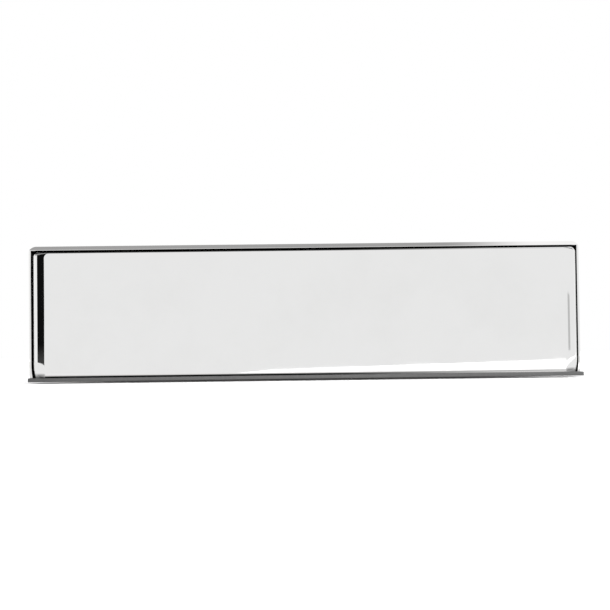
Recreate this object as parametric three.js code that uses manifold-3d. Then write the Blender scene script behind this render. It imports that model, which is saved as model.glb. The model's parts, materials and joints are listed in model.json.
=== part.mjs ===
// Sleeved letter plate: an outer set and an inner set, one on each face of a door, joined by a
// telescopic duct and two fixing screws. Both flaps hang closed from a rod near their top edge.
// Millimetres. +X is to the right seen from outside, +Y goes into the house, +Z is up.
// The origin is the centre of the slot, on the door's outer face.
//
// Each set is drawn the same way round: the door's face at y = 0, the flap towards -y. The inner
// set is then turned half way round +Z and moved to the door's inner face.

import * as THREE from "three";
import { mergeVertices } from "three/addons/utils/BufferGeometryUtils.js";
import Module from "manifold-3d";

const wasm = await Module();
wasm.setup();

// Door and fit
const DOOR_THICKNESS = 44;
const SEAT = 0.3; // gap between pieces that rest on each other
const EXTRA = 1; // how far a cutter runs past the surface that it cuts

// Frame
const FRAME_WIDTH = 310;
const FRAME_HEIGHT = 76;
const FRAME_CORNER = 4;
const FRAME_FRONT = 16.5; // door face to the front of the rim
const RIM_SIDE = 1.3;
const RIM_TOP = 2.3;
const RIM_BOTTOM = 1.4;
const CHAMFER_TOP = 2.1; // slope along the rim's top edge
const CHAMFER_SIDE = 0.7; // slope along its other edges
const GASKET_THICKNESS = 1.5;
const GASKET_INSET = 2; // the gasket stands back by this much from the frame's edge
const WEB_THICKNESS = 2.5;

// Flap
const FLAP_GAP = 0.8; // visible line between rim and flap, above and below
const SIDE_GAP = 0.6; // the same at each end, with the flap in the middle
const FLAP_FLOAT = 0.3; // how far the flap has slid along its rod, out of that middle
const FLAP_FRONT = 18; // door face to the flap's face
const FLAP_DEPTH = 7;
const FLAP_WALL = 1.5;
const FLAP_END_WALL = 3;
const FLAP_CORNER = 2.5;
const SHOULDER_DEPTH = 3; // depth of the rounding round the face
const SHOULDER_SIDE = 7;
const SHOULDER_TOP = 1.2;
const EASED_WIDTH = 1.2; // the lower corners draw in by this much
const EASED_HEIGHT = 9;

// Finger lip along the outer flap's bottom edge
const LIP_FRONT = 22.5;
const LIP_THICKNESS = 2.2;
const LIP_FILLET = 1.5;
const LIP_EDGE = 0.3;
const LIP_CLEARANCE = 0.4;
const LIP_STEP = 1; // the bottom rim stands back by this much behind the lip

// Hinge
const HINGE_DEPTH = 5.5; // flap's face to the rod's axis
const HINGE_DROP = 6; // flap's top edge to the rod's axis
const SWING_RADIUS = 7.8; // room for the flap's top edge to turn in
const ROD_RADIUS = 1.5;
const ROD_HALF_LENGTH = 147.5;
const BUSH_BORE = 1.65;
const BUSH_RADIUS = 2.5;
const BUSH_FLANGE_RADIUS = 3.4;
const BUSH_FLANGE = 0.8;
const LUG_BORE = 2.65;
const LUG_RADIUS = 3.7;
const LUG_X = 141;
const LUG_WIDTH = 4;
const LUG_ROOT = 0.5; // how far a lug's stem goes into the web
const LUG_FRONT = 2.4; // the stem starts this far in front of the axis, and below it
const LUG_NECK = 3; // and ends this far behind it
const LUG_SHELF = 2; // axis to the stem's upper side
const LUG_FOOT = 9.5; // axis to the stem's lowest point
const EAR_RADIUS = 3.4;
const EAR_BORE = 1.7;
const EAR_WIDTH = 5;
const EAR_X = [-118, -40, 40, 118];
const CLIP_RADIUS = 3.1;
const CLIP_THICKNESS = 0.8;

// Springs
const COIL_RADIUS = 3;
const WIRE_RADIUS = 0.45;
const COIL_OUTER_X = 137;
const COIL_INNER_X = 123;
const COIL_TURNS = 5.25;
const LEG_START = 1; // the web leg meets the coil this far behind the axis
const LEG_RISES = [1.4, 3.8]; // heights of the flap leg's points above the axis
const LEG_SLOPE = 0.08;

// Duct
const SLOT_WIDTH = 262;
const SLOT_HEIGHT = 41;
const SLEEVE_WALL = 1.2;
const SLEEVE_SLIP = 0.4; // gap between the two halves of the duct, each side
const SLEEVE_MOUTH = 13; // door face to the front edge of the duct
const SLEEVE_LENGTH = 31; // door face to the duct's far edge
const SLEEVE_FLANGE = 2;
const SLEEVE_FLANGE_THICKNESS = 1.5;
const SEAL_BAND = 2.2;
const SLEEVE_CORNER = 1;
const SLOT_CORNER = 2;

// Fixings and buffers
const FIXING_X = 142;
const PILLAR_RADIUS = 4.5;
const PILLAR_LENGTH = 24;
const PILLAR_BORE = 2.7;
const PILLAR_BORE_END = 1;
const SPIGOT_RADIUS = 2.2;
const SCREW_RADIUS = 2.4;
const SCREW_LENGTH = 36;
const SCREW_HEAD_RADIUS = 4.6;
const SCREW_HEAD_HEIGHT = 2.8;
const DRIVE_ARM = 2.6; // half the length of each slot of the screw's cross recess
const DRIVE_HALF_WIDTH = 0.6;
const DRIVE_DEPTH = 1.6;
const BUFFER_X = 143;
const BUFFER_Z = -30;
const BUFFER_RADIUS = 3;
const BUFFER_STEM = 1.4;
const BUFFER_CHAMFER = 0.9;
const PAD_WIDTH = 10;
const PAD_HEIGHT = 8;

// Facets
const CORNER_FACETS = 6;
const DUCT_FACETS = 2;
const ROUND_SIDES = 20;
const SMALL_SIDES = 12;
const WIRE_FACETS = 3;
const SWING_SIDES = 48;
const PILLAR_SIDES = 6;
const HEAD_SIDES = 24;
const STEPS_PER_TURN = 10;
const LEG_STEPS = 8;

// Derived places, in a set's own coordinates
const frameBack = -(GASKET_THICKNESS + SEAT);
const webFront = frameBack - WEB_THICKNESS;
const frameTop = FRAME_HEIGHT / 2;
const flapHalfWidth = FRAME_WIDTH / 2 - RIM_SIDE - SIDE_GAP;
const flapTop = frameTop - RIM_TOP - FLAP_GAP;
const flapBottom = -frameTop + RIM_BOTTOM + FLAP_GAP;
const flapFace = -FLAP_FRONT;
const flapBack = flapFace + FLAP_DEPTH;
const flapInside = flapFace + FLAP_WALL;
const axisY = flapFace + HINGE_DEPTH;
const axisZ = flapTop - HINGE_DROP;

const finish = {
  chrome: new THREE.MeshStandardMaterial({ color: 0xe4e4e3, metalness: 1, roughness: 0.04 }),
  steel: new THREE.MeshStandardMaterial({ color: 0xa9abad, metalness: 1, roughness: 0.3 }),
  spring: new THREE.MeshStandardMaterial({ color: 0x7d7f82, metalness: 1, roughness: 0.35 }),
  rubber: new THREE.MeshStandardMaterial({ color: 0x1c1c1d, metalness: 0, roughness: 0.8 }),
  foam: new THREE.MeshStandardMaterial({ color: 0x2b2b2c, metalness: 0, roughness: 0.95 }),
  duct: new THREE.MeshStandardMaterial({ color: 0x26272a, metalness: 0, roughness: 0.5 }),
  nylon: new THREE.MeshStandardMaterial({ color: 0xe9e6dc, metalness: 0, roughness: 0.5 }),
  brass: new THREE.MeshStandardMaterial({ color: 0xc6a45c, metalness: 1, roughness: 0.3 }),
};

// Solids -------------------------------------------------------------------------------------

function solid(geometry) {
  const bare = geometry.clone();
  bare.deleteAttribute("normal");
  bare.deleteAttribute("uv");
  const merged = mergeVertices(bare, 1e-4);
  return new wasm.Manifold(
    new wasm.Mesh({
      numProp: 3,
      vertProperties: new Float32Array(merged.attributes.position.array),
      triVerts: new Uint32Array(merged.index.array),
    }),
  );
}

function mesh(name, body, material) {
  const { vertProperties, triVerts } = body.getMesh();
  const geometry = new THREE.BufferGeometry();
  geometry.setAttribute("position", new THREE.BufferAttribute(vertProperties, 3));
  geometry.setIndex(new THREE.BufferAttribute(triVerts, 1));
  const made = new THREE.Mesh(geometry, material);
  made.name = name;
  return made;
}

function block([x0, x1], [y0, y1], [z0, z1]) {
  const box = new THREE.BoxGeometry(x1 - x0, y1 - y0, z1 - z0);
  return solid(box.translate((x0 + x1) / 2, (y0 + y1) / 2, (z0 + z1) / 2));
}

// A cylinder along X, centred on (y, z).
function roundX(radius, [x0, x1], y, z, sides = ROUND_SIDES) {
  const cylinder = new THREE.CylinderGeometry(radius, radius, x1 - x0, sides);
  return solid(cylinder.rotateZ(Math.PI / 2).translate((x0 + x1) / 2, y, z));
}

// A cylinder along Y, centred on (x, z).
function roundY(radius, [y0, y1], x, z, sides = ROUND_SIDES) {
  const cylinder = new THREE.CylinderGeometry(radius, radius, y1 - y0, sides);
  return solid(cylinder.translate(x, (y0 + y1) / 2, z));
}

// An outline in the door's plane, drawn as (x, z), filled between two depths.
function slab(outline, [yFront, yBack], facets = CORNER_FACETS) {
  const extruded = new THREE.ExtrudeGeometry(outline, {
    depth: yBack - yFront,
    bevelEnabled: false,
    curveSegments: facets,
  });
  return solid(extruded.rotateX(Math.PI / 2).translate(0, yBack, 0));
}

// A side view, drawn as (y, z), filled between two widths.
function sideways(profile, [x0, x1]) {
  const extruded = new THREE.ExtrudeGeometry(profile, {
    depth: x1 - x0,
    bevelEnabled: false,
    curveSegments: CORNER_FACETS,
  });
  const turn = new THREE.Matrix4().makeBasis(
    new THREE.Vector3(0, 1, 0),
    new THREE.Vector3(0, 0, 1),
    new THREE.Vector3(1, 0, 0),
  );
  return solid(extruded.applyMatrix4(turn).translate(x0, 0, 0));
}

// A flat outline from its corner points.
function polygon(points) {
  return new THREE.Shape(points.map(([u, v]) => new THREE.Vector2(u, v)));
}

function roundedRectangle(width, height, radius) {
  const x = width / 2 - radius;
  const z = height / 2 - radius;
  const outline = new THREE.Shape();
  outline.absarc(x, z, radius, 0, Math.PI / 2);
  outline.absarc(-x, z, radius, Math.PI / 2, Math.PI);
  outline.absarc(-x, -z, radius, Math.PI, 1.5 * Math.PI);
  outline.absarc(x, -z, radius, 1.5 * Math.PI, 2 * Math.PI);
  return outline;
}

function rectangularRing(width, height, band, depths, corner) {
  const outline = roundedRectangle(width + 2 * band, height + 2 * band, corner + band);
  const opening = roundedRectangle(width, height, corner);
  const through = [depths[0] - EXTRA, depths[1] + EXTRA];
  return slab(outline, depths, DUCT_FACETS).subtract(slab(opening, through, DUCT_FACETS));
}

// Frame --------------------------------------------------------------------------------------

// A lug stands on the web and holds the rod from below and behind, out of the flap's way.
function lug(side) {
  const inner = side * LUG_X;
  const outer = side * (LUG_X + LUG_WIDTH);
  const width = [Math.min(inner, outer), Math.max(inner, outer)];
  const stem = polygon([
    [axisY, axisZ],
    [axisY - LUG_FRONT, axisZ - LUG_FRONT],
    [webFront + LUG_ROOT, axisZ - LUG_FOOT],
    [webFront + LUG_ROOT, axisZ - LUG_SHELF],
    [axisY + LUG_NECK, axisZ - LUG_SHELF],
  ]);
  return roundX(LUG_RADIUS, width, axisY, axisZ).add(sideways(stem, width));
}

// The outside: a rounded block whose front edges slope away from the flap.
function frameBlock() {
  const front = -FRAME_FRONT;
  const end = FRAME_WIDTH / 2;
  const outline = roundedRectangle(FRAME_WIDTH, FRAME_HEIGHT, FRAME_CORNER);
  const sideView = polygon([
    [frameBack, -frameTop],
    [frameBack, frameTop],
    [front + CHAMFER_TOP, frameTop],
    [front, frameTop - CHAMFER_TOP],
    [front, -frameTop + CHAMFER_SIDE],
    [front + CHAMFER_SIDE, -frameTop],
  ]);
  const plan = new THREE.ExtrudeGeometry(
    polygon([
      [end, frameBack],
      [-end, frameBack],
      [-end, front + CHAMFER_SIDE],
      [-end + CHAMFER_SIDE, front],
      [end - CHAMFER_SIDE, front],
      [end, front + CHAMFER_SIDE],
    ]),
    { depth: 2 * FRAME_HEIGHT, bevelEnabled: false },
  );
  return slab(outline, [front, frameBack])
    .intersect(sideways(sideView, [-end, end]))
    .intersect(solid(plan.translate(0, 0, -FRAME_HEIGHT)));
}

function frame(name, sleeve, hasLip) {
  let body = frameBlock();
  const cavityHalf = FRAME_WIDTH / 2 - RIM_SIDE;
  body = body.subtract(slab(flapFrontView(SIDE_GAP, FLAP_GAP), [-FRAME_FRONT - EXTRA, webFront]));
  const cavityWidth = [-cavityHalf, cavityHalf];
  body = body.subtract(roundX(SWING_RADIUS, cavityWidth, axisY, axisZ, SWING_SIDES));
  if (hasLip) {
    body = body.subtract(block(
      [-FRAME_WIDTH, FRAME_WIDTH],
      [-FRAME_FRONT - EXTRA, -FRAME_FRONT + LIP_STEP],
      [-FRAME_HEIGHT, -frameTop + LIP_THICKNESS],
    ));
  }
  body = body.subtract(slab(
    roundedRectangle(sleeve.width + 2 * SEAT, sleeve.height + 2 * SEAT, SLOT_CORNER),
    [webFront - EXTRA, frameBack + EXTRA],
    DUCT_FACETS,
  ));
  for (const side of [-1, 1]) {
    body = body.add(lug(side));
    const lugSpan = [side * LUG_X - LUG_WIDTH - EXTRA, side * LUG_X + LUG_WIDTH + EXTRA];
    body = body.subtract(roundX(LUG_BORE, lugSpan, axisY, axisZ));
    const through = [webFront - EXTRA, frameBack + EXTRA];
    body = body.subtract(roundY(SCREW_RADIUS + SEAT, through, side * FIXING_X, 0));
    body = body.subtract(roundY(BUFFER_STEM + SEAT, through, side * BUFFER_X, BUFFER_Z, SMALL_SIDES));
  }
  return mesh(name, body, finish.chrome);
}

// Flap ---------------------------------------------------------------------------------------

// Side view: an even shell whose face rolls over at the top, and at the bottom if it has no lip.
function flapSideView(hasLip) {
  const view = new THREE.Shape();
  view.moveTo(flapBack, flapBottom);
  view.lineTo(flapBack, flapTop);
  view.lineTo(flapFace + SHOULDER_DEPTH, flapTop);
  view.absellipse(
    flapFace + SHOULDER_DEPTH, flapTop - SHOULDER_TOP, SHOULDER_DEPTH, SHOULDER_TOP,
    Math.PI / 2, Math.PI,
  );
  if (hasLip) {
    view.lineTo(flapFace, flapBottom);
  } else {
    view.absellipse(
      flapFace + SHOULDER_DEPTH, flapBottom + SHOULDER_TOP, SHOULDER_DEPTH, SHOULDER_TOP,
      Math.PI, 1.5 * Math.PI,
    );
  }
  return view;
}

// Plan: the face rolls back towards both ends.
function flapPlan() {
  const plan = new THREE.Shape();
  const shoulder = flapHalfWidth - SHOULDER_SIDE;
  const rolled = flapFace + SHOULDER_DEPTH;
  plan.moveTo(flapHalfWidth, flapBack);
  plan.lineTo(-flapHalfWidth, flapBack);
  plan.absellipse(-shoulder, rolled, SHOULDER_SIDE, SHOULDER_DEPTH, Math.PI, 1.5 * Math.PI);
  plan.absellipse(shoulder, rolled, SHOULDER_SIDE, SHOULDER_DEPTH, 1.5 * Math.PI, 2 * Math.PI);
  return plan;
}

// Front view: small round corners at the top, long eased corners at the bottom. The frame's
// cavity is the same outline, grown by the gaps.
function flapFrontView(growthX = 0, growthZ = 0) {
  const view = new THREE.Shape();
  const corner = FLAP_CORNER + growthX;
  const topX = flapHalfWidth + growthX - corner;
  const topZ = flapTop + growthZ - corner;
  const easedX = flapHalfWidth + growthX - EASED_WIDTH;
  const easedZ = flapBottom - growthZ + EASED_HEIGHT;
  view.absarc(topX, topZ, corner, 0, Math.PI / 2);
  view.absarc(-topX, topZ, corner, Math.PI / 2, Math.PI);
  view.absellipse(-easedX, easedZ, EASED_WIDTH, EASED_HEIGHT, Math.PI, 1.5 * Math.PI);
  view.absellipse(easedX, easedZ, EASED_WIDTH, EASED_HEIGHT, 1.5 * Math.PI, 2 * Math.PI);
  return view;
}

// The lip stands out in front of the frame's bottom rim and is as wide as the frame.
function fingerLip() {
  const lipTop = -frameTop + LIP_THICKNESS;
  const lipBack = -FRAME_FRONT + LIP_STEP - LIP_CLEARANCE;
  const view = new THREE.Shape();
  view.moveTo(lipBack, -frameTop);
  view.lineTo(lipBack, lipTop);
  view.lineTo(-LIP_FRONT + LIP_EDGE, lipTop);
  view.absarc(-LIP_FRONT + LIP_EDGE, lipTop - LIP_EDGE, LIP_EDGE, Math.PI / 2, Math.PI);
  view.absarc(-LIP_FRONT + LIP_EDGE, -frameTop + LIP_EDGE, LIP_EDGE, Math.PI, 1.5 * Math.PI);
  const bar = sideways(view, [-FRAME_WIDTH / 2, FRAME_WIDTH / 2]);

  const corner = new THREE.Shape();
  corner.moveTo(lipBack, lipTop - EXTRA);
  corner.lineTo(lipBack, lipTop + LIP_FILLET);
  corner.lineTo(flapFace, lipTop + LIP_FILLET);
  corner.absarc(flapFace - LIP_FILLET, lipTop + LIP_FILLET, LIP_FILLET, 0, -Math.PI / 2, true);
  corner.lineTo(flapFace - LIP_FILLET, lipTop - EXTRA);
  const filletEnd = flapHalfWidth - SHOULDER_SIDE;
  return bar.add(sideways(corner, [-filletEnd, filletEnd]));
}

function flap(name, hasLip) {
  const half = [-flapHalfWidth - EXTRA, flapHalfWidth + EXTRA];
  const depths = [flapFace - EXTRA, flapBack + EXTRA];
  const plan = new THREE.ExtrudeGeometry(flapPlan(), {
    depth: 2 * FRAME_HEIGHT,
    bevelEnabled: false,
    curveSegments: CORNER_FACETS,
  });
  let body = sideways(flapSideView(hasLip), half);
  body = body.intersect(solid(plan.translate(0, 0, -FRAME_HEIGHT)));
  body = body.intersect(slab(flapFrontView(), depths));
  const pocketHalf = flapHalfWidth - FLAP_END_WALL;
  const pocketBottom = flapBottom + FLAP_WALL;
  body = body.subtract(block(
    [-pocketHalf, pocketHalf],
    [flapInside, flapBack + EXTRA],
    [pocketBottom, flapTop - FLAP_WALL],
  ));
  for (const x of EAR_X) {
    const width = [x - EAR_WIDTH / 2, x + EAR_WIDTH / 2];
    const root = block(
      width,
      [flapInside - FLAP_WALL / 2, axisY],
      [axisZ - EAR_RADIUS, axisZ + EAR_RADIUS],
    );
    body = body.add(root).add(roundX(EAR_RADIUS, width, axisY, axisZ));
    body = body.subtract(roundX(EAR_BORE, [width[0] - EXTRA, width[1] + EXTRA], axisY, axisZ));
  }
  for (const side of [-1, 1]) {
    const x = side * (pocketHalf + EXTRA - PAD_WIDTH / 2);
    body = body.add(block(
      [x - PAD_WIDTH / 2, x + PAD_WIDTH / 2],
      [flapInside - FLAP_WALL / 2, flapBack],
      [pocketBottom - FLAP_WALL / 2, pocketBottom + PAD_HEIGHT],
    ));
  }
  if (hasLip) body = body.add(fingerLip());
  return mesh(name, body, finish.chrome);
}

// Hinge pieces -------------------------------------------------------------------------------

function hingeRod(name) {
  const length = [-ROD_HALF_LENGTH, ROD_HALF_LENGTH];
  return mesh(name, roundX(ROD_RADIUS, length, axisY, axisZ), finish.steel);
}

// A washer or tube round the rod between two distances from the middle.
function collar(side, near, far, radius) {
  const span = side < 0 ? [-far, -near] : [near, far];
  const bore = roundX(BUSH_BORE, [span[0] - EXTRA, span[1] + EXTRA], axisY, axisZ, SMALL_SIDES);
  return roundX(radius, span, axisY, axisZ, SMALL_SIDES).subtract(bore);
}

function bush(name, side) {
  const tube = collar(side, LUG_X - SEAT - BUSH_FLANGE / 2, LUG_X + LUG_WIDTH, BUSH_RADIUS);
  const flange = collar(side, LUG_X - SEAT - BUSH_FLANGE, LUG_X - SEAT, BUSH_FLANGE_RADIUS);
  return mesh(name, tube.add(flange), finish.nylon);
}

function rodClip(name, side) {
  const near = LUG_X + LUG_WIDTH + SEAT;
  return mesh(name, collar(side, near, near + CLIP_THICKNESS, CLIP_RADIUS), finish.spring);
}

// Torsion spring: one leg bears on the web, the other behind the flap's top edge.
function spring(name, side) {
  const turned = 2 * Math.PI * COIL_TURNS;
  const steps = Math.round(STEPS_PER_TURN * COIL_TURNS);
  const points = [];
  const webEnd = webFront - SEAT - WIRE_RADIUS;
  for (const y of [webEnd, (webEnd + axisY) / 2, axisY + LEG_START]) {
    points.push(new THREE.Vector3(side * COIL_OUTER_X, y, axisZ - COIL_RADIUS));
  }
  for (let i = 0; i <= steps; i++) {
    const angle = -Math.PI / 2 - (turned * i) / steps;
    const x = side * THREE.MathUtils.lerp(COIL_OUTER_X, COIL_INNER_X, i / steps);
    const y = axisY + COIL_RADIUS * Math.cos(angle);
    points.push(new THREE.Vector3(x, y, axisZ + COIL_RADIUS * Math.sin(angle)));
  }
  for (const rise of LEG_RISES) {
    const y = axisY - COIL_RADIUS - LEG_SLOPE * rise;
    points.push(new THREE.Vector3(side * COIL_INNER_X, y, axisZ + rise));
  }
  const section = new THREE.Shape();
  section.absarc(0, 0, WIRE_RADIUS, 0, 2 * Math.PI);
  const wire = new THREE.ExtrudeGeometry(section, {
    steps: points.length + LEG_STEPS,
    curveSegments: WIRE_FACETS,
    extrudePath: new THREE.CatmullRomCurve3(points, false, "centripetal"),
  });
  return mesh(name, solid(wire), finish.spring);
}

// Duct, seals and gasket ---------------------------------------------------------------------

function sleeveDuct(name, sleeve) {
  const tube = rectangularRing(
    sleeve.width - 2 * SLEEVE_WALL, sleeve.height - 2 * SLEEVE_WALL, SLEEVE_WALL,
    [-SLEEVE_MOUTH, SLEEVE_LENGTH], SLEEVE_CORNER,
  );
  const flangeBack = webFront - SEAT;
  const flange = rectangularRing(
    sleeve.width - SLEEVE_WALL, sleeve.height - SLEEVE_WALL, SLEEVE_WALL / 2 + SLEEVE_FLANGE,
    [flangeBack - SLEEVE_FLANGE_THICKNESS, flangeBack], SLOT_CORNER,
  );
  return mesh(name, tube.add(flange), finish.duct);
}

function seal(name, sleeve) {
  const ring = rectangularRing(
    sleeve.width - 2 * SLEEVE_WALL, sleeve.height - 2 * SLEEVE_WALL, SEAL_BAND,
    [flapInside + SEAT, -SLEEVE_MOUTH - SEAT], SLEEVE_CORNER,
  );
  return mesh(name, ring, finish.rubber);
}

function gasket(name, sleeve) {
  const depths = [-GASKET_THICKNESS, 0];
  const width = FRAME_WIDTH - 2 * GASKET_INSET;
  const height = FRAME_HEIGHT - 2 * GASKET_INSET;
  const outline = roundedRectangle(width, height, FRAME_CORNER);
  let body = slab(outline, depths);
  const through = [depths[0] - EXTRA, depths[1] + EXTRA];
  const opening = roundedRectangle(sleeve.width + 4 * SEAT, sleeve.height + 4 * SEAT, SLOT_CORNER);
  body = body.subtract(slab(opening, through, DUCT_FACETS));
  for (const side of [-1, 1]) {
    body = body.subtract(roundY(PILLAR_RADIUS + SEAT, through, side * FIXING_X, 0));
  }
  return mesh(name, body, finish.foam);
}

// Buffers and fixings ------------------------------------------------------------------------

function buffer(name, side) {
  const tip = flapBack + SEAT;
  const seat = webFront - SEAT;
  const profile = [
    new THREE.Vector2(0, 0),
    new THREE.Vector2(BUFFER_RADIUS - BUFFER_CHAMFER, 0),
    new THREE.Vector2(BUFFER_RADIUS, BUFFER_CHAMFER),
    new THREE.Vector2(BUFFER_RADIUS, seat - tip),
    new THREE.Vector2(BUFFER_STEM, seat - tip),
    new THREE.Vector2(BUFFER_STEM, frameBack - tip),
    new THREE.Vector2(0, frameBack - tip),
  ];
  const turned = new THREE.LatheGeometry(profile, SMALL_SIDES);
  const body = solid(turned.translate(side * BUFFER_X, tip, BUFFER_Z));
  return mesh(name, body, finish.rubber);
}

function fixingPillar(name, side) {
  const x = side * FIXING_X;
  const post = roundY(PILLAR_RADIUS, [frameBack + SEAT, PILLAR_LENGTH], x, 0, PILLAR_SIDES);
  const spigot = roundY(SPIGOT_RADIUS, [webFront, frameBack + SEAT + EXTRA], x, 0);
  const bore = roundY(PILLAR_BORE, [PILLAR_BORE_END, PILLAR_LENGTH + EXTRA], x, 0);
  return mesh(name, post.add(spigot).subtract(bore), finish.brass);
}

function fixingScrew(name, side) {
  const x = side * FIXING_X;
  const headBack = webFront - SEAT;
  const headFront = headBack - SCREW_HEAD_HEIGHT;
  const shank = roundY(SCREW_RADIUS, [headBack - EXTRA, SCREW_LENGTH], x, 0);
  let body = roundY(SCREW_HEAD_RADIUS, [headFront, headBack], x, 0, HEAD_SIDES).add(shank);
  const depths = [headFront - EXTRA, headFront + DRIVE_DEPTH];
  const arms = [DRIVE_ARM, DRIVE_HALF_WIDTH];
  for (const [alongX, alongZ] of [arms, arms.toReversed()]) {
    body = body.subtract(block([x - alongX, x + alongX], depths, [-alongZ, alongZ]));
  }
  return mesh(name, body, finish.steel);
}

// Assembly -----------------------------------------------------------------------------------

function plateSet(prefix, sleeve, hasLip, turned) {
  const set = new THREE.Group();
  const cover = flap(`${prefix}_flap`, hasLip);
  cover.position.x = FLAP_FLOAT;
  set.add(
    cover,
    frame(`${prefix}_frame`, sleeve, hasLip),
    hingeRod(`${prefix}_hinge_rod`),
    sleeveDuct(`${prefix}_sleeve`, sleeve),
    seal(`${prefix}_seal`, sleeve),
    gasket(`${prefix}_gasket`, sleeve),
  );
  for (const side of [-1, 1]) {
    const hand = side < 0 !== turned ? "left" : "right";
    set.add(
      bush(`${prefix}_bush_${hand}`, side),
      rodClip(`${prefix}_rod_clip_${hand}`, side),
      spring(`${prefix}_spring_${hand}`, side),
      buffer(`${prefix}_buffer_${hand}`, side),
    );
  }
  return set;
}

const outerSleeve = {
  width: SLOT_WIDTH + 2 * SLEEVE_WALL,
  height: SLOT_HEIGHT + 2 * SLEEVE_WALL,
};
const innerSleeve = {
  width: SLOT_WIDTH - 2 * SLEEVE_SLIP,
  height: SLOT_HEIGHT - 2 * SLEEVE_SLIP,
};

const outerSet = plateSet("outer", outerSleeve, true, false);
outerSet.add(fixingPillar("fixing_pillar_left", -1), fixingPillar("fixing_pillar_right", 1));

const innerSet = plateSet("inner", innerSleeve, false, true);
innerSet.add(fixingScrew("fixing_screw_right", -1), fixingScrew("fixing_screw_left", 1));
innerSet.rotation.z = Math.PI;
innerSet.position.y = DOOR_THICKNESS;

const letterPlate = new THREE.Group();
letterPlate.add(outerSet, innerSet);

export default letterPlate;
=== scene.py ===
"""Looks, stage, light and camera for the letter plate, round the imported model.

Metres, in the part's own frame: +X right seen from outside, +Y into the house, +Z up.
"""
import json
import math

import bmesh
import bpy
from mathutils import Matrix, Vector


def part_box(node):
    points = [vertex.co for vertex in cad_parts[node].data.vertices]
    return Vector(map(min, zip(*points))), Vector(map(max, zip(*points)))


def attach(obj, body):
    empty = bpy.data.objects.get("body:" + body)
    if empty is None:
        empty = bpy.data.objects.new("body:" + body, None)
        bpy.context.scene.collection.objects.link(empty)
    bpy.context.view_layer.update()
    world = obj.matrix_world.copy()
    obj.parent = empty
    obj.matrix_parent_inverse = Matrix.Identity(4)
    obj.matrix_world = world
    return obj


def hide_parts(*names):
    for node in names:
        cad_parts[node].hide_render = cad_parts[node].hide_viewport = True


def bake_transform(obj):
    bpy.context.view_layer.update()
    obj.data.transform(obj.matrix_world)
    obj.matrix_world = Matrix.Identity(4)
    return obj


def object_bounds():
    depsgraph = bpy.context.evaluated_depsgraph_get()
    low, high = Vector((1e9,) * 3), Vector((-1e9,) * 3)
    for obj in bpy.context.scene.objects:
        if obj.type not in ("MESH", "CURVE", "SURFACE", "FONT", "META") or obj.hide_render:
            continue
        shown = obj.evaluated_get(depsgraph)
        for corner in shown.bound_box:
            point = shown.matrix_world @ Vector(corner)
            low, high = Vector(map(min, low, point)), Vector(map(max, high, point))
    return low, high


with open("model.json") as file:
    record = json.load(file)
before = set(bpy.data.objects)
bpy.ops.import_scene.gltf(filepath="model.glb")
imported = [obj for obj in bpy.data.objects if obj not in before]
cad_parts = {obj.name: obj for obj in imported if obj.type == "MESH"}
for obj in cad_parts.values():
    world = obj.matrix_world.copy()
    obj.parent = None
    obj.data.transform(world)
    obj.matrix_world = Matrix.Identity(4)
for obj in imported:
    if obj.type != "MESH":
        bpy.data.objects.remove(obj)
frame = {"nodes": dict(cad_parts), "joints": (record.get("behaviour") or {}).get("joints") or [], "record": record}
cad_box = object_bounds()

MM = 0.001
SETS = ("outer", "inner")
HANDS = ("left", "right")

# Places taken from the frame -----------------------------------------------------------------

joints = {joint["name"]: joint for joint in frame["joints"]}
outer_frame_low, outer_frame_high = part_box("outer_frame")
outer_flap_low, outer_flap_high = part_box("outer_flap")
inner_flap_low, inner_flap_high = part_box("inner_flap")
FLAP_HALF_WIDTH = (inner_flap_high.x - inner_flap_low.x) / 2
FLAP_TOP = inner_flap_high.z
FLAP_BOTTOM = inner_flap_low.z
FRAME_HALF_WIDTH = outer_frame_high.x
FRAME_BOTTOM = outer_frame_low.z
FRAME_FRONT = outer_frame_low.y
LIP_FRONT = outer_flap_low.y
FLAP_CENTRE = {
    "outer": (outer_flap_low.x + outer_flap_high.x) / 2,
    "inner": (inner_flap_low.x + inner_flap_high.x) / 2,
}

# Shape of the flap, as the CAD model has it
SHELL_DEPTH = 7 * MM
SHELL_WALL = 1.5 * MM
END_WALL = 3 * MM
SHOULDER_DEPTH = 3 * MM
SHOULDER_SIDE = 7 * MM
SHOULDER_TOP = 1.2 * MM
TOP_CORNER = 2.5 * MM
EASED_WIDTH = 1.2 * MM
EASED_HEIGHT = 9 * MM
LIP_THICKNESS = 2.2 * MM
LIP_FILLET = 1.5 * MM
LIP_EDGE = 0.3 * MM
LIP_BACK = FRAME_FRONT + 0.6 * MM
SHOULDER_STEPS = 12
BACK_EDGE = 0.3 * MM  # the slope on the shell's back edges
POCKET_CORNER = (1 * MM, 1 * MM)
ROOT_DEPTH = 0.6 * SHELL_WALL  # ears and pads start this far behind the face
HINGE_DEPTH = 5.5 * MM
EAR_X = (-118 * MM, -40 * MM, 40 * MM, 118 * MM)
EAR_WIDTH = 5 * MM
EAR_RADIUS = 3.4 * MM
EAR_BORE = 1.7 * MM
EAR_SIDES = 24
PAD_WIDTH = 10 * MM
PAD_HEIGHT = 8 * MM
PAD_ROOT = 1 * MM  # how far a pad runs into the shell's end wall
COIL_RADIUS = 3 * MM
WIRE_RADIUS = 0.45 * MM
COIL_TURNS = 5.25
STEPS_PER_TURN = 28
WEB_LEG_STEPS = 6
WEB_LEG_INSET = 0.1 * MM
FLAP_LEG_RISES = (1.0 * MM, 1.9 * MM, 2.8 * MM, 3.7 * MM)
FLAP_LEG_SLOPE = 0.08

AXIS = {name: Vector(joints[name + "_flap_hinge"]["pos_m"]) for name in SETS}
FACE = {"outer": AXIS["outer"].y - HINGE_DEPTH, "inner": AXIS["inner"].y + HINGE_DEPTH}
OUTWARD = {"outer": -1, "inner": 1}
FRONT = {"outer": FRAME_FRONT, "inner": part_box("inner_frame")[1].y}

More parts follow.
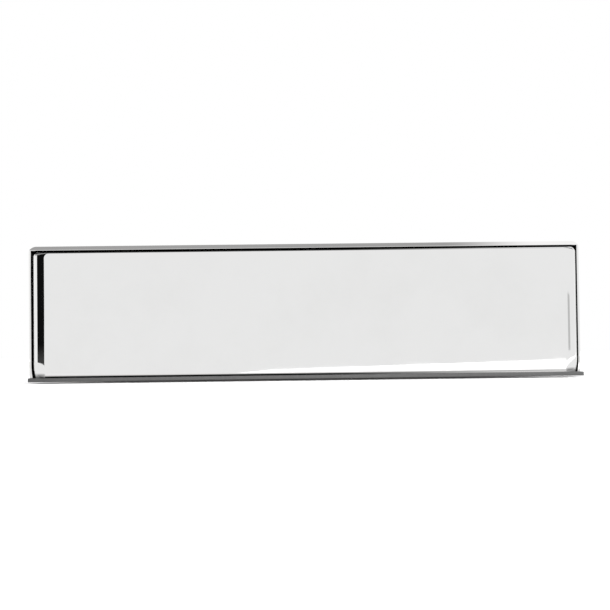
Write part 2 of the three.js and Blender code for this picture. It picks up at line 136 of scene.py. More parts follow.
# The recess that the flap closes, where the frame is painted dark: partly bare casting, partly painted shade.
# Everything on the frame inside these lines is in it. Its two end walls are outside them and keep the chrome
# colour.
RECESS_HALF_WIDTH = FRAME_HALF_WIDTH - 1.45 * MM
RECESS_BOTTOM = FRAME_BOTTOM + 0.35 * MM
RECESS_TOP = outer_frame_high.z - 2.2 * MM
RECESS_RISE = 0.45  # the recess's upper line climbs by this much per unit of depth
RECESS_ROOF = outer_frame_high.z - 0.4 * MM
RECESS_SHADE_DEPTH = (0.1 * MM, 1.2 * MM)  # the recess's painted shade comes in between these depths
RECESS_ROUGHNESS = 0.45


# Mesh helpers --------------------------------------------------------------------------------

def new_object(name, bm, smooth_angle=35):
    """A finished bmesh as an object with smooth faces and sharp edges where they are sharp."""
    mesh = bpy.data.meshes.new(name)
    bmesh.ops.recalc_face_normals(bm, faces=bm.faces)
    bm.to_mesh(mesh)
    bm.free()
    for face in mesh.polygons:
        face.use_smooth = True
    mesh.set_sharp_from_angle(angle=math.radians(smooth_angle))
    made = bpy.data.objects.new(name, mesh)
    bpy.context.scene.collection.objects.link(made)
    return made


def weigh_normals(obj):
    normals = obj.modifiers.new("flat faces stay flat", "WEIGHTED_NORMAL")
    normals.keep_sharp = True
    normals.weight = 80


def ease_edges(obj, width, segments=3, angle=38):
    """Rounds an object's edges: flat faces are joined first, so that the bevel runs evenly."""
    joined = obj.modifiers.new("join flat faces", "DECIMATE")
    joined.decimate_type = "DISSOLVE"
    joined.angle_limit = math.radians(0.6)
    bevel = obj.modifiers.new("eased edges", "BEVEL")
    bevel.width = width
    bevel.segments = segments
    bevel.limit_method = "ANGLE"
    bevel.angle_limit = math.radians(angle)
    bevel.miter_outer = "MITER_ARC"
    bevel.use_clamp_overlap = True
    weigh_normals(obj)


def smooth_cad(node, angle=30):
    """Shades a CAD node smoothly across its facets and keeps its real edges sharp."""
    mesh = frame["nodes"][node].data
    for face in mesh.polygons:
        face.use_smooth = True
    mesh.set_sharp_from_angle(angle=math.radians(angle))


def loft(bm, rings):
    """Joins rings of points, all of one length, into a skin that is closed at both ends."""
    rows = [[bm.verts.new(point) for point in ring] for ring in rings]
    count = len(rings[0])
    for row, following in zip(rows, rows[1:]):
        for i in range(count):
            j = (i + 1) % count
            bm.faces.new((row[i], row[j], following[j], following[i]))
    bm.faces.new(list(reversed(rows[0])))
    bm.faces.new(rows[-1])


def outline(half, low, high, top, bottom, y, steps=8):
    """A ring in the door's plane with its own radii at the top and bottom corners."""
    corners = (
        (half, low, bottom, -90),
        (half, high, top, 0),
        (-half, high, top, 90),
        (-half, low, bottom, 180),
    )
    points = []
    for x, z, (radius_x, radius_z), start in corners:
        centre_x = x - math.copysign(radius_x, x)
        centre_z = z + radius_z if z == low else z - radius_z
        for step in range(steps + 1):
            angle = math.radians(start + 90 * step / steps)
            points.append(Vector((
                centre_x + radius_x * math.cos(angle), y, centre_z + radius_z * math.sin(angle),
            )))
    return points


def block(bm, low, high):
    size = [b - a for a, b in zip(low, high)]
    centre = [(a + b) / 2 for a, b in zip(low, high)]
    matrix = Matrix.Translation(centre) @ Matrix.Diagonal((*size, 1))
    bmesh.ops.create_cube(bm, size=1, matrix=matrix)


def extrude_along_x(bm, profile, x0, x1):
    """A closed side view of (y, z) points, filled between two widths."""
    loft(bm, [[Vector((x, y, z)) for y, z in profile] for x in (x0, x1)])


def tube(name, points, radius, sides=12):
    """A round wire along points, with flat ends."""
    bm = bmesh.new()
    tangent = (points[1] - points[0]).normalized()
    normal = tangent.orthogonal().normalized()
    rings = []
    for i, point in enumerate(points):
        ahead = points[min(i + 1, len(points) - 1)] - points[max(i - 1, 0)]
        tangent = ahead.normalized()
        normal = (normal - tangent * normal.dot(tangent)).normalized()
        across = tangent.cross(normal)
        ring = []
        for k in range(sides):
            angle = 2 * math.pi * k / sides
            ring.append(point + radius * (math.cos(angle) * normal + math.sin(angle) * across))
        rings.append(ring)
    loft(bm, rings)
    return new_object(name, bm, 50)


# Materials -----------------------------------------------------------------------------------

def maths(tree, operation, first, second=0.0):
    node = tree.nodes.new("ShaderNodeMath")
    node.operation = operation
    for socket, value in zip(node.inputs, (first, second)):
        if isinstance(value, (int, float)):
            socket.default_value = value
        else:
            tree.links.new(value, socket)
    return node.outputs["Value"]


def map_range(tree, source, low, high, to_low, to_high, interpolation="LINEAR"):
    node = tree.nodes.new("ShaderNodeMapRange")
    node.interpolation_type = interpolation
    for key, value in zip(("From Min", "From Max", "To Min", "To Max"),
                          (low, high, to_low, to_high)):
        node.inputs[key].default_value = value
    tree.links.new(source, node.inputs["Value"])
    return node.outputs["Result"]


def ramp(tree, source, low, high, to_low, to_high):
    """A change that starts and ends gently."""
    return map_range(tree, source, low, high, to_low, to_high, "SMOOTHSTEP")


class Nodes:
    """A material's node tree, with short calls for the nodes that the finishes share."""

    def __init__(self, name):
        self.material = bpy.data.materials.new(name)
        self.material.use_nodes = True
        self.tree = self.material.node_tree
        self.shader = self.tree.nodes["Principled BSDF"]
        self.place = self.add("ShaderNodeTexCoord").outputs["Object"]

    def add(self, kind, **settings):
        node = self.tree.nodes.new(kind)
        for key, value in settings.items():
            setattr(node, key, value)
        return node

    def link(self, source, target):
        self.tree.links.new(source, target)

    def set(self, **values):
        for key, value in values.items():
            self.shader.inputs[key.replace("_", " ")].default_value = value

    def noise(self, scale, detail=3, roughness=0.5, stretch=None):
        node = self.add("ShaderNodeTexNoise")
        node.inputs["Scale"].default_value = scale
        node.inputs["Detail"].default_value = detail
        node.inputs["Roughness"].default_value = roughness
        source = self.place
        if stretch:
            mapping = self.add("ShaderNodeMapping")
            mapping.inputs["Scale"].default_value = stretch
            self.link(self.place, mapping.inputs["Vector"])
            source = mapping.outputs["Vector"]
        self.link(source, node.inputs["Vector"])
        return node.outputs["Fac"]

    def spread(self, source, low, high, to_low, to_high):
        return map_range(self.tree, source, low, high, to_low, to_high)

    def edges(self, low=0.52, high=0.58):
        """1 along convex edges, 0 elsewhere."""
        return self.spread(self.add("ShaderNodeNewGeometry").outputs["Pointiness"], low, high, 0, 1)

    def mix(self, factor, first, second):
        node = self.add("ShaderNodeMix", data_type="RGBA")
        self.link(factor, node.inputs["Factor"])
        for key, value in ((6, first), (7, second)):
            if isinstance(value, tuple):
                node.inputs[key].default_value = (*value, 1)
            else:
                self.link(value, node.inputs[key])
        return node.outputs[2]

    def maths(self, operation, first, second=0.0):
        return maths(self.tree, operation, first, second)

    def parts(self, vector):
        node = self.add("ShaderNodeSeparateXYZ")
        self.link(vector, node.inputs["Vector"])
        return node.outputs

    def bump(self, height, strength, distance):
        node = self.add("ShaderNodeBump")
        node.inputs["Strength"].default_value = strength
        node.inputs["Distance"].default_value = distance
        self.link(height, node.inputs["Height"])
        self.link(node.outputs["Normal"], self.shader.inputs["Normal"])


WORN_EDGE = (0.53, 0.62)  # how convex an edge is where its plate starts to thin, and is thin
RIPPLE_SCALE = 24
RIPPLE_BUMP = (0.05, 0.1 * MM)


def plate_tone(n):
    """Polished chrome with faint hand smudges, duller where the plate is thin."""
    smudge = n.spread(n.noise(28, 4, 0.6), 0.45, 0.75, 0.0, 1.0)
    tone = n.mix(smudge, (0.90, 0.90, 0.897), (0.875, 0.875, 0.87))
    return n.mix(n.edges(*WORN_EDGE), tone, (0.80, 0.79, 0.78))


def plate_haze(n):
    return n.spread(n.noise(45, 3), 0.4, 0.8, 0.012, 0.045)


def chrome():
    """Mirror chrome plate: faint hand smudges, a slight ripple, and thinner plate on the edges."""
    n = Nodes("chrome plate")
    n.set(Metallic=1.0)
    n.link(plate_tone(n), n.shader.inputs["Base Color"])
    wear = n.spread(n.edges(*WORN_EDGE), 0, 1, 0.0, 0.05)
    n.link(n.maths("ADD", plate_haze(n), wear), n.shader.inputs["Roughness"])
    n.bump(n.noise(RIPPLE_SCALE, 1), *RIPPLE_BUMP)
    return n.material


def frame_plate(name):
    """Chrome plate on a frame, with its recess painted dark: partly bare casting where the plate does not reach,
    partly painted shade.
    """
    n = Nodes(name + " frame plate")
    n.set(Metallic=1.0)
    along = n.parts(n.place)
    depth = n.maths("MULTIPLY", n.maths("SUBTRACT", along["Y"], FRONT[name]), -OUTWARD[name])
    roof = n.maths("ADD", n.maths("MULTIPLY", depth, RECESS_RISE), RECESS_TOP)
    roof = n.maths("MINIMUM", roof, RECESS_ROOF)
    inside = [
        n.maths("LESS_THAN", n.maths("ABSOLUTE", along["X"]), RECESS_HALF_WIDTH),
        n.maths("LESS_THAN", along["Z"], roof),
        n.maths("GREATER_THAN", along["Z"], RECESS_BOTTOM),
    ]
    # Where the frame is painted dark as shade in the recess.
    recess = n.spread(depth, *RECESS_SHADE_DEPTH, 0, 1)
    for test in inside:
        recess = n.maths("MULTIPLY", recess, test)
    # Painted shade: the recess's dark colour stands for the shade in it, as well as for bare casting.
    casting_and_painted_shade = n.mix(n.noise(400, 4, 0.6), (0.030, 0.030, 0.031), (0.065, 0.064, 0.062))
    n.link(n.mix(recess, plate_tone(n), casting_and_painted_shade), n.shader.inputs["Base Color"])
    rough = n.maths("MULTIPLY", recess, RECESS_ROUGHNESS)
    n.link(n.maths("ADD", plate_haze(n), rough), n.shader.inputs["Roughness"])
    grit = n.maths("MULTIPLY", recess, n.noise(1800, 2))
    n.bump(n.maths("ADD", n.noise(RIPPLE_SCALE, 1), grit), *RIPPLE_BUMP)
    return n.material


def satin_edge_painted_reflection():
    """Chrome over an unpolished cut edge: satin, with fine marks across the edge. Its dark grey colour is a
    painted reflection of the shade under the plate.
    """
    n = Nodes("unpolished edge with painted reflection")
    n.set(Metallic=1.0)
    grain = n.noise(900, 4, 0.6, (1.0, 0.15, 0.15))
    # Painted reflection: the dark grey base colour stands for the shade that the edge reflects.
    n.link(n.mix(grain, (0.27, 0.27, 0.27), (0.38, 0.38, 0.38)), n.shader.inputs["Base Color"])
    n.link(n.spread(n.noise(300, 3), 0.3, 0.7, 0.3, 0.42), n.shader.inputs["Roughness"])
    n.bump(grain, 0.25, 0.02 * MM)
    return n.material


def drawn_metal(name, dark, light, rough, grain_scale, worn):
    """Plated or drawn metal with fine lines round it, worn bright on its edges."""
    n = Nodes(name)
    n.set(Metallic=1.0)
    grain = n.noise(grain_scale, 4, 0.6, (6.0, 1.0, 1.0))
    stain = n.noise(90, 3)
    tone = n.mix(stain, dark, light)
    n.link(n.mix(n.edges(), tone, worn), n.shader.inputs["Base Color"])
    n.link(n.spread(grain, 0.3, 0.7, rough, rough + 0.14), n.shader.inputs["Roughness"])
    n.bump(grain, 0.2, 0.02 * MM)
    return n.material


def rubber():
    n = Nodes("black rubber")
    n.set(Metallic=0.0)
    bloom = n.spread(n.noise(220, 4, 0.65), 0.45, 0.75, 0, 1)
    tone = n.mix(bloom, (0.016, 0.016, 0.017), (0.045, 0.045, 0.046))
    n.link(tone, n.shader.inputs["Base Color"])
    n.link(n.spread(n.noise(500, 2), 0.3, 0.7, 0.6, 0.82), n.shader.inputs["Roughness"])
    n.bump(n.noise(2600, 3), 0.35, 0.05 * MM)
    return n.material


def foam():
    """Closed-cell foam: small round cells seen cut open, with painted shade in their hollows."""
    n = Nodes("closed-cell foam")
    n.set(Metallic=0.0)
    cells = n.add("ShaderNodeTexVoronoi", feature="SMOOTH_F1")
    cells.inputs["Scale"].default_value = 1500
    n.link(n.place, cells.inputs["Vector"])
    distance = cells.outputs["Distance"]
    # Painted shade: each cell is darker towards its hollow middle, where the bump is lowest.
    pores = n.spread(distance, 0.15, 0.6, 0, 1)
    tone = n.mix(pores, (0.018, 0.018, 0.019), (0.055, 0.055, 0.057))
    n.link(tone, n.shader.inputs["Base Color"])
    n.link(n.spread(n.noise(700, 2), 0.3, 0.7, 0.82, 0.97), n.shader.inputs["Roughness"])
    n.bump(pores, 0.6, 0.12 * MM)
    return n.material


def moulded(name, dark, light, worn, rough, texture):
    """Injection-moulded plastic with a fine spark texture and rubbed edges."""
    n = Nodes(name)
    n.set(Metallic=0.0)
    shade = n.noise(60, 3)
    n.link(n.mix(n.edges(), n.mix(shade, dark, light), worn), n.shader.inputs["Base Color"])
    n.link(n.spread(n.noise(240, 3), 0.3, 0.7, rough, rough + 0.12), n.shader.inputs["Roughness"])
    n.bump(n.noise(texture, 2), 0.25, 0.04 * MM)
    return n.material


FINISH = {
    "chrome": chrome(),
    "outer_frame": frame_plate("outer"),
    "inner_frame": frame_plate("inner"),
    "satin_edge_painted_reflection": satin_edge_painted_reflection(),
    "steel": drawn_metal("zinc-plated steel", (0.50, 0.51, 0.53), (0.60, 0.60, 0.60), 0.2, 700,
                         (0.72, 0.72, 0.72)),
    "spring_steel": drawn_metal("spring wire", (0.27, 0.275, 0.285), (0.38, 0.38, 0.385), 0.28, 900,
                                (0.5, 0.5, 0.5)),
    "brass": drawn_metal("turned brass", (0.55, 0.39, 0.16), (0.68, 0.51, 0.24), 0.2, 800,
                         (0.8, 0.64, 0.34)),
    "rubber": rubber(),
    "foam": foam(),
    "duct": moulded("moulded black plastic", (0.022, 0.023, 0.025), (0.036, 0.037, 0.04),
                    (0.09, 0.09, 0.095), 0.36, 2200),
    "nylon": moulded("natural nylon", (0.72, 0.70, 0.63), (0.82, 0.80, 0.74),
                     (0.86, 0.85, 0.8), 0.38, 1800),
}


def paint(obj, finish):
    obj.data.materials.clear()
    obj.data.materials.append(FINISH[finish])


# Carried-over CAD nodes ----------------------------------------------------------------------

# Widths in millimetres
EASED_ON_EACH_SET = {"frame": 0.18, "sleeve": 0.25, "hinge_rod": 0.3}
EASED_ON_EACH_HAND = {"bush": 0.12, "rod_clip": 0.12, "buffer": 0.3}
EASED_FIXINGS = {"fixing_pillar": 0.3, "fixing_screw": 0.35}


def finish_cad_nodes():
    slots = {part["node"]: part["material_slot"] for part in frame["record"]["subparts"]}
    for node, obj in frame["nodes"].items():
        for material_slot in obj.material_slots:
            material_slot.material = FINISH[node if node in FINISH else slots[node]]
        smooth_cad(node)
    widths = {f"{name}_{part}": width
              for name in SETS for part, width in EASED_ON_EACH_SET.items()}
    for hand in HANDS:
        for part, width in EASED_FIXINGS.items():
            widths[f"{part}_{hand}"] = width
        for name in SETS:
            for part, width in EASED_ON_EACH_HAND.items():
                widths[f"{name}_{part}_{hand}"] = width
    for node, width in widths.items():
        ease_edges(frame["nodes"][node], width * MM)


# Flaps ---------------------------------------------------------------------------------------

def flap_shell(name, has_lip):
    """The hollow shell: one skin over the face, round the sides, and back into the pocket."""
    out = OUTWARD[name]
    face = FACE[name]
    rings = []
    for step in range(SHOULDER_STEPS, -1, -1):
        angle = math.radians(90 * step / SHOULDER_STEPS)
        shrink = 1 - math.cos(angle)
        y = face - out * SHOULDER_DEPTH * (1 - math.sin(angle))
        lift = 0 if has_lip else SHOULDER_TOP * shrink
        rings.append(outline(
            FLAP_HALF_WIDTH - SHOULDER_SIDE * shrink, FLAP_BOTTOM + lift,
            FLAP_TOP - SHOULDER_TOP * shrink,
            (TOP_CORNER, TOP_CORNER), (EASED_WIDTH, EASED_HEIGHT), y,
        ))
    edge = BACK_EDGE
    back = face - out * SHELL_DEPTH
    floor = face - out * SHELL_WALL
    rings.append(outline(FLAP_HALF_WIDTH, FLAP_BOTTOM, FLAP_TOP, (TOP_CORNER, TOP_CORNER),
                         (EASED_WIDTH, EASED_HEIGHT), back + out * edge))
    rings.append(outline(FLAP_HALF_WIDTH - edge, FLAP_BOTTOM + edge, FLAP_TOP - edge,
                         (TOP_CORNER, TOP_CORNER), (EASED_WIDTH, EASED_HEIGHT), back))
    for inset, y in ((-edge, back), (0, back + out * edge), (0, floor - out * edge), (edge, floor)):
        rings.append(outline(
            FLAP_HALF_WIDTH - END_WALL - inset, FLAP_BOTTOM + SHELL_WALL + inset,
            FLAP_TOP - SHELL_WALL - inset, POCKET_CORNER, POCKET_CORNER, y,
        ))
    aside = Vector((FLAP_CENTRE[name], 0, 0))
    bm = bmesh.new()
    loft(bm, [[point + aside for point in ring] for ring in rings])
    shell = new_object(name + "_flap_shell", bm)
    weigh_normals(shell)
    return shell


def hinge_ear(name, index, x):
    """A drilled ear on the back of the face, that the rod runs through."""
    out = OUTWARD[name]
    axis = AXIS[name]
    root_y = FACE[name] - out * ROOT_DEPTH
    outer, bore = [], []
    for k in range(EAR_SIDES):
        angle = 2 * math.pi * k / EAR_SIDES
        bore.append((axis.y + EAR_BORE * math.cos(angle), axis.z + EAR_BORE * math.sin(angle)))
        towards_face = math.sin(angle) < -1e-6
        y = root_y if towards_face else axis.y - out * EAR_RADIUS * math.sin(angle)
        outer.append((y, axis.z + EAR_RADIUS * math.cos(angle)))
    start = max(range(EAR_SIDES), key=lambda k: bore[k][1])
    bore = bore[start:] + bore[:start]
    if (bore[1][0] - bore[0][0]) * (outer[1][0] - outer[0][0]) < 0:
        bore = [bore[0]] + bore[:0:-1]
    bm = bmesh.new()
    rows = []
    for radius_set, at in ((outer, -1), (outer, 1), (bore, 1), (bore, -1)):
        rows.append([bm.verts.new((x + at * EAR_WIDTH / 2, y, z)) for y, z in radius_set])
    for row, following in zip(rows, rows[1:] + rows[:1]):
        for i in range(EAR_SIDES):
            j = (i + 1) % EAR_SIDES
            bm.faces.new((row[i], row[j], following[j], following[i]))
    bmesh.ops.remove_doubles(bm, verts=bm.verts, dist=1e-6)
    return new_object(f"{name}_flap_ear_{index}", bm, 40)


def stop_pad(name, hand, side):
    """The solid corner of the shell that meets the buffer."""
    out = OUTWARD[name]
    end = FLAP_CENTRE[name] + side * (FLAP_HALF_WIDTH - END_WALL + PAD_ROOT)
    ys = sorted((FACE[name] - out * ROOT_DEPTH, FACE[name] - out * SHELL_DEPTH))
    xs = sorted((end, end - side * PAD_WIDTH))
    bottom = FLAP_BOTTOM + SHELL_WALL / 2
    bm = bmesh.new()
    block(bm, (xs[0], ys[0], bottom), (xs[1], ys[1], FLAP_BOTTOM + SHELL_WALL + PAD_HEIGHT))
    pad = new_object(f"{name}_flap_pad_{hand}", bm)
    ease_edges(pad, 0.5 * MM, 4)
    return pad


def arc(centre, radius, start, end, steps=8):
    points = []
    for step in range(steps + 1):
        angle = math.radians(start + (end - start) * step / steps)
        points.append((centre[0] + radius * math.cos(angle), centre[1] + radius * math.sin(angle)))
    return points


def finger_lip():
    """The bar along the bottom edge, and the hollow curve that joins it to the face."""
    lip_top = FRAME_BOTTOM + LIP_THICKNESS
    face = FACE["outer"]
    profile = [(LIP_BACK, FRAME_BOTTOM), (LIP_BACK, lip_top)]
    profile += arc((LIP_FRONT + LIP_EDGE, lip_top - LIP_EDGE), LIP_EDGE, 90, 180)
    profile += arc((LIP_FRONT + LIP_EDGE, FRAME_BOTTOM + LIP_EDGE), LIP_EDGE, 180, 270)
    bm = bmesh.new()
    extrude_along_x(bm, profile, outer_flap_low.x, outer_flap_high.x)
    bar = new_object("outer_flap_lip", bm)
    ease_edges(bar, 0.12 * MM, 3)

    curve = [(LIP_BACK, lip_top - LIP_FILLET / 2), (LIP_BACK, lip_top + LIP_FILLET)]
    curve += arc((face - LIP_FILLET, lip_top + LIP_FILLET), LIP_FILLET, 0, -90, 12)
    curve += [(face - LIP_FILLET, lip_top - LIP_FILLET / 2)]
    bm = bmesh.new()
    end = FLAP_HALF_WIDTH - SHOULDER_SIDE
    centre = FLAP_CENTRE["outer"]
    extrude_along_x(bm, curve, centre - end, centre + end)
    fillet = new_object("outer_flap_fillet", bm)
    return bar, fillet


def make_flap(name):
    body = name + "_flap"
    pieces = [flap_shell(name, name == "outer")]
    pieces += [hinge_ear(name, i + 1, FLAP_CENTRE[name] + x) for i, x in enumerate(EAR_X)]
    pieces += [stop_pad(name, hand, side) for hand, side in zip(HANDS, (-1, 1))]
    if name == "outer":
        bar, fillet = finger_lip()
        pieces += [bar, fillet]
    for piece in pieces:
        paint(piece, "chrome")
        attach(piece, body)
    if name == "outer":
        paint(bar, "satin_edge_painted_reflection")
    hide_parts(name + "_flap")


# Springs -------------------------------------------------------------------------------------

def torsion_spring(name, hand):
    """A wound wire whose outer end bears on the frame and whose inner end turns with the flap."""
    node = f"{name}_spring_{hand}"
    low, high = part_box(node)
    out = OUTWARD[name]
    axis = AXIS[name]
    side = -1 if hand == "left" else 1
    ends = (low.x + WIRE_RADIUS, high.x - WIRE_RADIUS)
    outer_x, inner_x = (ends[0], ends[1]) if side < 0 else (ends[1], ends[0])
    web_end = (high.y if out < 0 else low.y) + out * WEB_LEG_INSET
    points = []
    for k in range(WEB_LEG_STEPS):
        y = web_end + (axis.y - web_end) * k / WEB_LEG_STEPS
        points.append(Vector((outer_x, y, axis.z - COIL_RADIUS)))
    steps = round(STEPS_PER_TURN * COIL_TURNS)
    for i in range(steps + 1):
        angle = -math.pi / 2 - 2 * math.pi * COIL_TURNS * i / steps
        x = outer_x + (inner_x - outer_x) * i / steps
        y = axis.y - out * COIL_RADIUS * math.cos(angle)
        points.append(Vector((x, y, axis.z + COIL_RADIUS * math.sin(angle))))
    for rise in FLAP_LEG_RISES:
        y = axis.y + out * (COIL_RADIUS + FLAP_LEG_SLOPE * rise)
        points.append(Vector((inner_x, y, axis.z + rise)))
    spring = tube(node + "_wire", points, WIRE_RADIUS)
    paint(spring, "spring_steel")
    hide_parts(node)
    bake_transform(spring)


# Stage, light and camera ---------------------------------------------------------------------

WHITE = 1.0
FLOOR_DROP = 1 * MM
CAMERA_DISTANCE = 0.8
CAMERA_YAW = 1.0
CAMERA_RISE = 1.8
CAMERA_ROLL = -0.7
CAMERA_ANGLE = 24.7
CAMERA_AIM = Vector((0.0002, 0, 0.0039))
FLOOR_REACH = 3.0
FLOOR_TONE = 0.93
SOFT_BOX_SIZE = (1.6, 1.0)
SOFT_BOX_POWER = 12
SOFT_BOX_PLACE = Vector((0.3, -0.6, 1.3))
FILL_STRENGTH = 0.9
FILL_SPREAD = 100
FILL_PLACE = Vector((0, -0.3, 2))


def emitter(name, strength):
    material = bpy.data.materials.new(name)
    material.use_nodes = True
    tree = material.node_tree
    tree.nodes.clear()
    glow = tree.nodes.new("ShaderNodeEmission")
    glow.inputs["Color"].default_value = (1, 1, 1, 1)
    glow.inputs["Strength"].default_value = strength
    out = tree.nodes.new("ShaderNodeOutputMaterial")
    tree.links.new(glow.outputs["Emission"], out.inputs["Surface"])
    return material


def reflected_only(made):
    """Hides a card or dome from everything except reflections."""
    made.visible_camera = False
    made.visible_diffuse = False
    made.visible_shadow = False
    made.visible_transmission = False


def card(name, corners, strength):
    """A flat card that only reflections see."""
    bm = bmesh.new()
    bm.faces.new([bm.verts.new(corner) for corner in corners])
    made = new_object(name, bm)
    made.data.materials.append(emitter(name, strength))
    reflected_only(made)
    return made


def upright_card(name, y, x_range, z_range, strength):
    (x0, x1), (z0, z1) = x_range, z_range
    return card(name, ((x0, y, z0), (x1, y, z0), (x1, y, z1), (x0, y, z1)), strength)


def level_card(name, z, x_range, y_range, strength):
    (x0, x1), (y0, y1) = x_range, y_range
    return card(name, ((x0, y0, z), (x1, y0, z), (x1, y1, z), (x0, y1, z)), strength)


def scaled_strength(made, build):
    """Lets a card's strength vary over its surface; build takes the tree and the place."""
    tree = made.data.materials[0].node_tree
    place = tree.nodes.new("ShaderNodeSeparateXYZ")
    tree.links.new(tree.nodes.new("ShaderNodeTexCoord").outputs["Object"], place.inputs["Vector"])
    glow = next(node for node in tree.nodes if node.type == "EMISSION")
    tree.links.new(build(tree, place), glow.inputs["Strength"])


def fade_edges(made, left, back):
    """Lets the room show through a card towards its left and its far edge."""
    tree = made.data.materials[0].node_tree
    place = next(node for node in tree.nodes if node.type == "SEPXYZ")
    glow = next(node for node in tree.nodes if node.type == "EMISSION")
    output = next(node for node in tree.nodes if node.type == "OUTPUT_MATERIAL")
    solid = maths(
        tree, "MULTIPLY",
        ramp(tree, place.outputs["X"], left[0], left[1], 0, 1),
        ramp(tree, place.outputs["Y"], back[1], back[0], 1, 0),
    )
    blend = tree.nodes.new("ShaderNodeMixShader")
    tree.links.new(solid, blend.inputs["Fac"])
    tree.links.new(tree.nodes.new("ShaderNodeBsdfTransparent").outputs["BSDF"], blend.inputs[1])
    tree.links.new(glow.outputs["Emission"], blend.inputs[2])
    tree.links.new(blend.outputs["Shader"], output.inputs["Surface"])


# The room that the metal reflects. Strengths are relative to white.
DOME_RADIUS = 2.6
WINDOWS = 4
WINDOW_STRENGTHS = (0.34, 1.05)  # between windows, and in them
CEILING_STRENGTH = 0.16
CEILING_HEIGHTS = (0.2 * DOME_RADIUS, 0.95 * DOME_RADIUS)
FACE_CARD = 0.89  # what most of the flap's face reflects
NEAR_SHADE = 0.25
CARD_LIFT = 0.5 * MM
CARD_REACH = 2.2
FLOOR_NEAR = 0.25
FLOOR_DARK = 0.045
FLOOR_ENDS = (0.155, 0.2)
FRONT_Y = -1.2
SIDE_Y = -0.6
RIGHT_Y = -0.62
TALL_TOP = 0.42
LOW_TOP = 0.30
LEFT_SPLIT = -0.77
LEFT_FOOT = 3 * MM
LEFT_STRENGTHS = (0.055, 0.005)
LEFT_DARK_FROM = -0.012
OVERHEAD = 0.5
OVERHEAD_HALF_WIDTH = 1.3
OVERHEAD_DEPTHS = (-0.36, 1.4)
STRIP_WIDTHS = (-1.1, 1.0)
STRIP_DEPTHS = (-0.01, 0.05)


def make_dome():
    """The room as the metal sees it: bright low down, darker overhead, with tall soft windows."""
    bm = bmesh.new()
    bmesh.ops.create_uvsphere(bm, u_segments=48, v_segments=24, radius=DOME_RADIUS)
    dome = new_object("reflected room", bm)
    dome.data.materials.append(emitter("reflected room", 1))

    def brightness(tree, place):
        turn = maths(tree, "ARCTAN2", place.outputs["Y"], place.outputs["X"])
        waves = maths(tree, "COSINE", maths(tree, "MULTIPLY", turn, WINDOWS))
        window = ramp(tree, waves, -1, 1, *WINDOW_STRENGTHS)
        height = ramp(tree, place.outputs["Z"], *CEILING_HEIGHTS, 1, CEILING_STRENGTH)
        return maths(tree, "MULTIPLY", window, height)

    scaled_strength(dome, brightness)
    reflected_only(dome)


def make_floor_cards(floor):
    """The floor as the metal sees it: shaded between and near the two sets."""
    middle = (cad_box[0].y + cad_box[1].y) / 2
    near = level_card("near floor", floor, (-CARD_REACH, CARD_REACH),
                      (-FLOOR_NEAR, 2 * middle + FLOOR_NEAR), 1)

    def shade(tree, place):
        away = maths(tree, "ABSOLUTE", maths(tree, "SUBTRACT", place.outputs["Y"], middle))
        in_front = ramp(tree, away, FLOOR_DARK, FLOOR_NEAR + middle, NEAR_SHADE, FACE_CARD)
        aside = maths(tree, "ABSOLUTE", place.outputs["X"])
        return maths(tree, "MAXIMUM", in_front, ramp(tree, aside, *FLOOR_ENDS, 0, FACE_CARD))

    scaled_strength(near, shade)
    card("front floor", (
        (-CARD_REACH, -FLOOR_NEAR, floor), (-CARD_REACH, -CARD_REACH, floor),
        (1.08, -CARD_REACH, floor), (0.34, -1.0, floor),
        (-0.018, -0.42, floor), (-0.05, -FLOOR_NEAR, floor),
    ), FACE_CARD)


def make_side_cards(floor):
    """Upright cards in front of the plate and to both sides."""
    upright_card("front card", FRONT_Y, (-0.62, 0.62), (floor, TALL_TOP), FACE_CARD)
    low = floor + LEFT_FOOT
    left = card("left card", [(x, SIDE_Y, z) for x, z in (
        (LEFT_SPLIT, low), (-0.277, low), (-0.264, 0.026), (-0.264, LOW_TOP),
        (LEFT_SPLIT, LOW_TOP),
    )], 1)
    scaled_strength(left, lambda tree, place: ramp(
        tree, place.outputs["Z"], low, LEFT_DARK_FROM, *LEFT_STRENGTHS))
    upright_card("far left card", SIDE_Y, (-CARD_REACH, LEFT_SPLIT), (floor, LOW_TOP), 0.95)
    upright_card("right card", RIGHT_Y, (0.28, CARD_REACH), (floor, TALL_TOP), FACE_CARD)
    upright_card("right strip", SIDE_Y, (0.385, 0.50), (-0.026, 0.032), 0.55)


def make_overhead_cards():
    """A card over the plate that is dark to the left, with a thin strip just below it."""
    overhead = level_card("overhead", OVERHEAD, (-OVERHEAD_HALF_WIDTH, OVERHEAD_HALF_WIDTH),
                          OVERHEAD_DEPTHS, 1)
    scaled_strength(overhead, lambda tree, place: ramp(
        tree, place.outputs["X"], 0.02, 0.26, 0.0, 0.85))
    fade_edges(overhead, (-OVERHEAD_HALF_WIDTH, -0.7), (OVERHEAD_DEPTHS[1], 0.5))
    strip = level_card("overhead strip", OVERHEAD - CARD_LIFT, STRIP_WIDTHS, STRIP_DEPTHS, 1)
    scaled_strength(strip, lambda tree, place: ramp(
        tree, place.outputs["X"], 0.13, 0.22, 0.42, 1.1))


def make_cards():
    floor = cad_box[0].z - FLOOR_DROP + CARD_LIFT
    make_floor_cards(floor)
    make_side_cards(floor)
    make_overhead_cards()


def see_through_from_below(tree, shader):
    """A floor that has only its upper side, so that the part's underside can be looked at."""
    blend = tree.nodes.new("ShaderNodeMixShader")
    output = tree.nodes["Material Output"]
    side = tree.nodes.new("ShaderNodeNewGeometry")
    tree.links.new(side.outputs["Backfacing"], blend.inputs["Fac"])
    tree.links.new(shader.outputs["BSDF"], blend.inputs[1])
    tree.links.new(tree.nodes.new("ShaderNodeBsdfTransparent").outputs["BSDF"], blend.inputs[2])
    tree.links.new(blend.outputs["Shader"], output.inputs["Surface"])


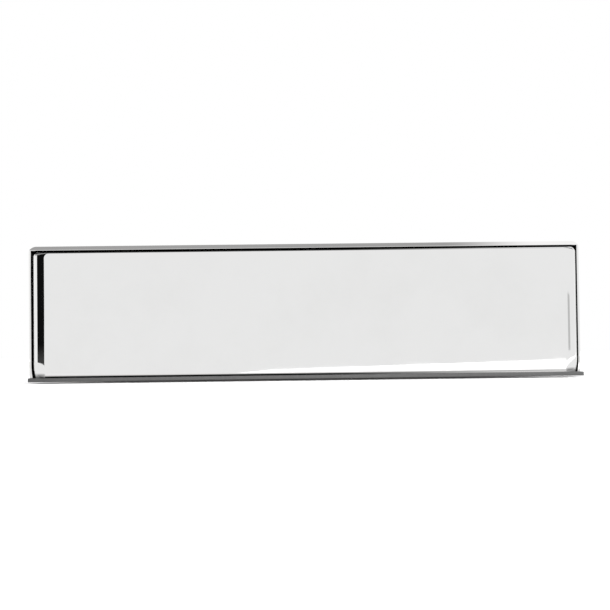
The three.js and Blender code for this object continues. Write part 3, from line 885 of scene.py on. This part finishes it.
def make_floor():
    bm = bmesh.new()
    height = cad_box[0].z - FLOOR_DROP
    corners = ((-1, -1), (1, -1), (1, 1), (-1, 1))
    bm.faces.new([bm.verts.new((x * FLOOR_REACH, y * FLOOR_REACH, height)) for x, y in corners])
    floor = new_object("floor", bm)
    material = bpy.data.materials.new("pale floor")
    material.use_nodes = True
    shader = material.node_tree.nodes["Principled BSDF"]
    shader.inputs["Base Color"].default_value = (FLOOR_TONE, FLOOR_TONE, FLOOR_TONE, 1)
    shader.inputs["Roughness"].default_value = 0.9
    shader.inputs["Specular IOR Level"].default_value = 0.1
    see_through_from_below(material.node_tree, shader)
    floor.data.materials.append(material)


def make_world():
    world = bpy.data.worlds.new("studio")
    bpy.context.scene.world = world
    world.use_nodes = True
    back = world.node_tree.nodes["Background"]
    back.inputs["Color"].default_value = (1, 1, 1, 1)
    back.inputs["Strength"].default_value = WHITE


def place_lamp(lamp, location):
    light = bpy.data.objects.new(lamp.name, lamp)
    light.location = location
    light.rotation_euler = (-light.location).to_track_quat("-Z", "Y").to_euler()
    light.visible_glossy = False
    bpy.context.scene.collection.objects.link(light)


def make_lights():
    soft_box = bpy.data.lights.new("soft box", "AREA")
    soft_box.shape = "RECTANGLE"
    soft_box.size, soft_box.size_y = SOFT_BOX_SIZE
    soft_box.energy = SOFT_BOX_POWER
    place_lamp(soft_box, SOFT_BOX_PLACE)
    fill = bpy.data.lights.new("overhead fill", "SUN")
    fill.energy = FILL_STRENGTH
    fill.angle = math.radians(FILL_SPREAD)
    place_lamp(fill, FILL_PLACE)


def make_camera():
    yaw, rise, roll = (math.radians(a) for a in (CAMERA_YAW, CAMERA_RISE, CAMERA_ROLL))
    level = math.cos(rise)
    forward = Vector((math.sin(yaw) * level, math.cos(yaw) * level, math.sin(rise)))
    camera = bpy.data.objects.new("camera", bpy.data.cameras.new("camera"))
    camera.data.sensor_fit = "HORIZONTAL"
    camera.data.angle = math.radians(CAMERA_ANGLE)
    camera.data.clip_start = 0.01
    camera.location = CAMERA_AIM - forward * CAMERA_DISTANCE
    upright = forward.to_track_quat("-Z", "Y").to_matrix()
    camera.rotation_euler = (upright @ Matrix.Rotation(roll, 3, "Z")).to_euler()
    bpy.context.scene.collection.objects.link(camera)
    bpy.context.scene.camera = camera


bpy.context.scene.view_settings.view_transform = "Standard"
make_camera()
make_world()
make_lights()
make_floor()
make_dome()
make_cards()
finish_cad_nodes()
for set_name in SETS:
    make_flap(set_name)
    for hand_name in HANDS:
        torsion_spring(set_name, hand_name)
